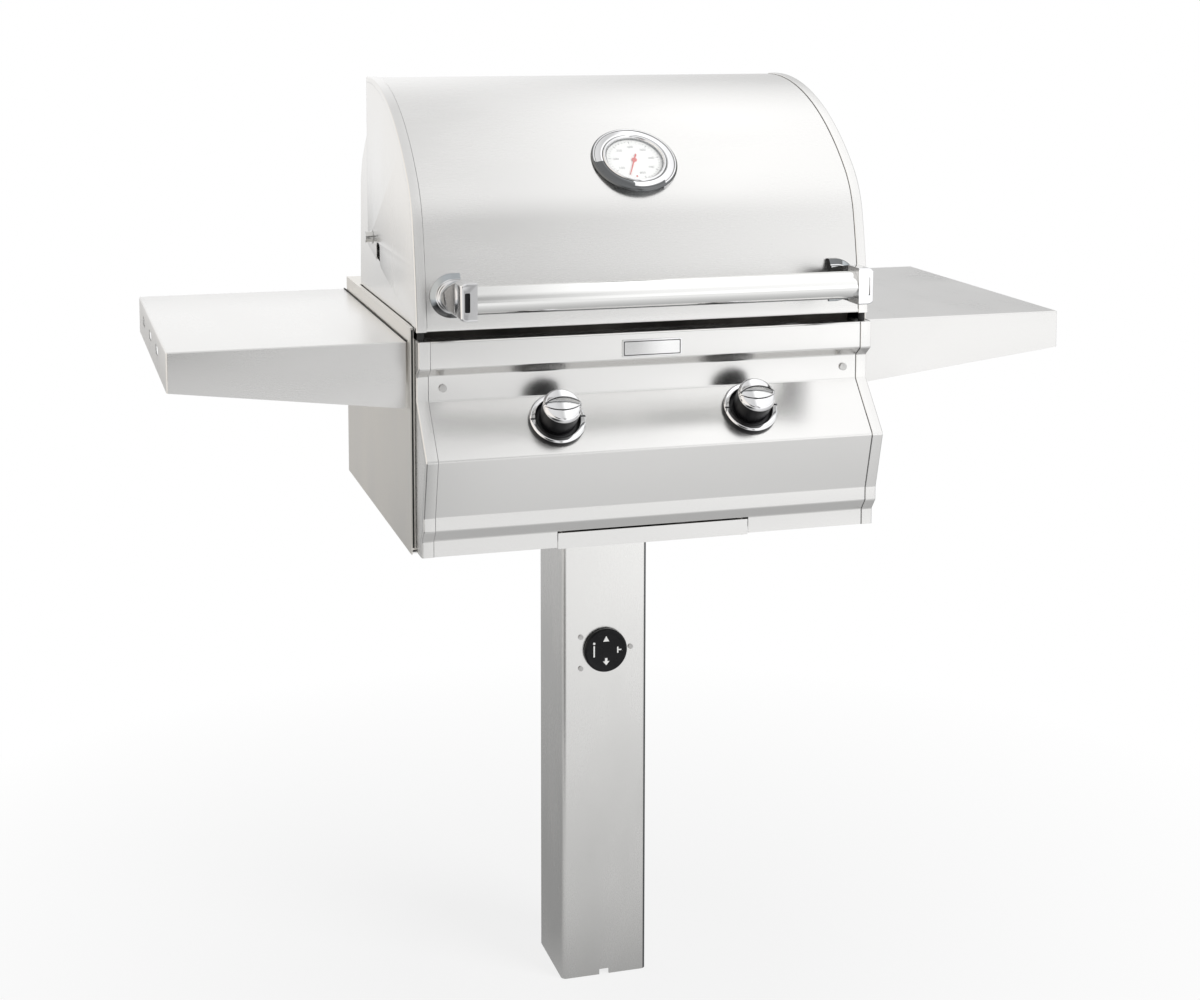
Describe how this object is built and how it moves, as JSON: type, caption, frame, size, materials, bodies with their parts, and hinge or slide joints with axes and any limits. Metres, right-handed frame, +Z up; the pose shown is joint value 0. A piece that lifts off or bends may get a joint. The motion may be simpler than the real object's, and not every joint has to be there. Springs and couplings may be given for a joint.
{
  "type": "post-mounted gas grill",
  "caption": "Gas grill on a square in-ground post, with a curved hinged hood, side shelves, front gas knobs, hood thermometer, post timer knob and a pull-out drip tray.",
  "frame": {"origin": "centre of the post's foot, on the plane where the post is cut at the ground", "axes": "+Z up; -Y towards the cook, the side with the knobs and the handle; +X to the cook's right"},
  "size_m": [1.368, 0.696, 1.443],
  "materials": {
    "post_steel": "vertical brushed stainless",
    "panel_steel": "brushed stainless sheet",
    "hood_steel": "brushed stainless sheet",
    "shelf_steel": "brushed stainless sheet",
    "handle_steel": "polished stainless tube",
    "chrome": "bright plated casting",
    "fastener_steel": "plain steel fasteners and shafts",
    "badge": "bare satin plate",
    "firebox_steel": "heat-tinted stainless sheet",
    "grid_steel": "stainless rod",
    "gas_pipe": "black painted pipe",
    "valve_brass": "machined brass",
    "timer_plastic": "black moulded knob",
    "bumper_rubber": "black rubber",
    "dial_white": "white printed dial",
    "gauge_glass": "clear flat glass",
    "needle_red": "red painted needle"
  },
  "bodies": {
    "base": {"post": "post_steel", "post_top_plate": "post_steel", "base_bolts": "fastener_steel", "timer_valve": "valve_brass", "post_screws": "fastener_steel", "gas_inlet_pipe": "gas_pipe", "gas_supply_pipe": "gas_pipe", "bottom_pan": "panel_steel", "side_panel_left": "panel_steel", "side_panel_right": "panel_steel", "rear_panel": "panel_steel", "front_panel": "panel_steel", "panel_end_left": "panel_steel", "panel_end_right": "panel_steel", "panel_screws": "fastener_steel", "badge_plate": "badge", "firebox": "firebox_steel", "grease_funnel": "firebox_steel", "tray_runners": "shelf_steel", "manifold": "gas_pipe", "valve_left": "valve_brass", "valve_right": "valve_brass", "knob_bezel_left": "chrome", "knob_bezel_right": "chrome", "burner_left": "firebox_steel", "burner_right": "firebox_steel", "radiant_left": "firebox_steel", "radiant_right": "firebox_steel", "cooking_grid_left": "grid_steel", "cooking_grid_right": "grid_steel", "rear_housing": "hood_steel", "housing_end_left": "hood_steel", "housing_end_right": "hood_steel", "pivot_bolts": "fastener_steel", "shelf_left": "shelf_steel", "shelf_right": "shelf_steel", "shelf_bracket_left": "shelf_steel", "shelf_bracket_right": "shelf_steel", "shelf_bolts": "fastener_steel"},
    "hood": {"hood_skin": "hood_steel", "hood_end_left": "hood_steel", "hood_end_right": "hood_steel", "hood_bumpers": "bumper_rubber", "handle_tube": "handle_steel", "handle_bracket_left": "chrome", "handle_bracket_right": "chrome", "handle_bolts": "fastener_steel", "gauge_bezel": "chrome", "gauge_dial": "dial_white", "gauge_lens": "gauge_glass", "gauge_stem": "fastener_steel"},
    "needle": {"gauge_needle": "needle_red"},
    "left_stem": {"valve_stem_left": "fastener_steel"},
    "left_knob": {"knob_left": "chrome"},
    "right_stem": {"valve_stem_right": "fastener_steel"},
    "right_knob": {"knob_right": "chrome"},
    "timer": {"timer_knob": "timer_plastic", "timer_stem": "fastener_steel"},
    "tray": {"drip_tray": "panel_steel"}
  },
  "joints": [
    {"name": "hood_hinge", "type": "hinge", "parent": "base", "child": "hood", "pos_m": [0, 0.05, 1.1955], "axis": [-1, 0, 0], "range_deg": [0, 85]},
    {"name": "thermometer_needle", "type": "hinge", "parent": "hood", "child": "needle", "pos_m": [0, -0.21854, 1.32823], "axis": [0, 0.6428, -0.766], "range_deg": [0, 290]},
    {"name": "left_knob_turn", "type": "hinge", "parent": "base", "child": "left_stem", "pos_m": [-0.146, -0.32306, 0.9683], "axis": [0, -0.7372, 0.6757], "range_deg": [0, 210]},
    {"name": "left_knob_push", "type": "slide", "parent": "left_stem", "child": "left_knob", "axis": [0, 0.7372, -0.6757], "range_m": [0, 0.003], "stiffness_N_per_m": 2000, "springref_m": -0.003},
    {"name": "right_knob_turn", "type": "hinge", "parent": "base", "child": "right_stem", "pos_m": [0.146, -0.32306, 0.9683], "axis": [0, -0.7372, 0.6757], "range_deg": [0, 210]},
    {"name": "right_knob_push", "type": "slide", "parent": "right_stem", "child": "right_knob", "axis": [0, 0.7372, -0.6757], "range_m": [0, 0.003], "stiffness_N_per_m": 2000, "springref_m": -0.003},
    {"name": "timer_turn", "type": "hinge", "parent": "base", "child": "timer", "pos_m": [0, -0.07, 0.54], "axis": [0, 1, 0], "range_deg": [0, 300]},
    {"name": "tray_slide", "type": "slide", "parent": "base", "child": "tray", "axis": [0, -1, 0], "range_m": [0, 0.24]}
  ]
}
